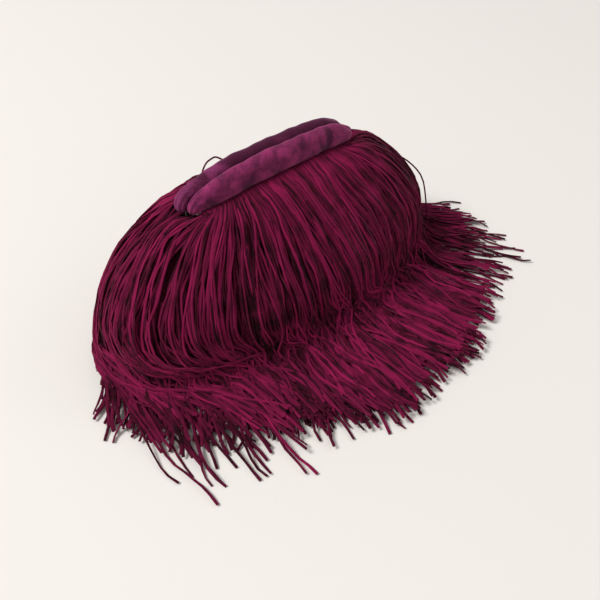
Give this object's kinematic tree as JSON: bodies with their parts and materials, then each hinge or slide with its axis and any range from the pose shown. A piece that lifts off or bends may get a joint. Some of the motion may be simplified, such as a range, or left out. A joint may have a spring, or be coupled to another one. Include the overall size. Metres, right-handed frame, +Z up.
{
  "type": "fringed suede bag",
  "caption": "Soft suede pouch with a hinged padded frame at its mouth and long suede fringe all round.",
  "frame": {"origin": "middle of the pouch's flat base, on the surface that it stands on", "axes": "+X along the frame towards the bag's right end seen from the front, -Y towards the front, +Z up"},
  "size_m": [0.5029, 0.3952, 0.172],
  "materials": {
    "wine_suede": "napped suede, matt",
    "fringe_suede": "cut suede strips, matt nap",
    "roll_suede": "brushed suede, soft nap",
    "rear_roll_suede": "brushed suede, soft nap",
    "lining_twill": "fine twill",
    "zinc_plated_steel": "plated, satin",
    "wadding": "soft wadding",
    "nickel_plated_magnet": "nickel plated"
  },
  "bodies": {
    "bag": {"outer_shell": "wine_suede", "lining": "lining_twill", "hinge_pin_left": "zinc_plated_steel", "hinge_pin_right": "zinc_plated_steel", "front_mouth_gathers": "wine_suede", "rear_mouth_gathers": "wine_suede", "front_top_fringe": "fringe_suede", "rear_top_fringe": "fringe_suede", "front_middle_fringe": "fringe_suede", "rear_middle_fringe": "fringe_suede", "front_lower_fringe": "fringe_suede", "rear_lower_fringe": "fringe_suede"},
    "front_frame": {"front_frame_bar": "zinc_plated_steel", "front_roll_core": "wadding", "front_magnet": "nickel_plated_magnet", "front_roll_cover": "roll_suede"},
    "rear_frame": {"rear_frame_bar": "zinc_plated_steel", "rear_roll_core": "wadding", "rear_magnet": "nickel_plated_magnet", "rear_roll_cover": "rear_roll_suede"}
  },
  "joints": [
    {"name": "front_frame_hinge", "type": "hinge", "parent": "bag", "child": "front_frame", "pos_m": [0, 0, 0.1315], "axis": [1, 0, 0], "range_deg": [0, 45], "deforming": ["front_mouth_gathers", "front_top_fringe"]},
    {"name": "rear_frame_hinge", "type": "hinge", "parent": "bag", "child": "rear_frame", "pos_m": [0, 0, 0.1315], "axis": [1, 0, 0], "range_deg": [-45, 0], "deforming": ["rear_mouth_gathers", "rear_top_fringe"]}
  ],
  "couplings": [
    {"joint": "rear_frame_hinge", "follows": "front_frame_hinge", "ratio": -1}
  ]
}
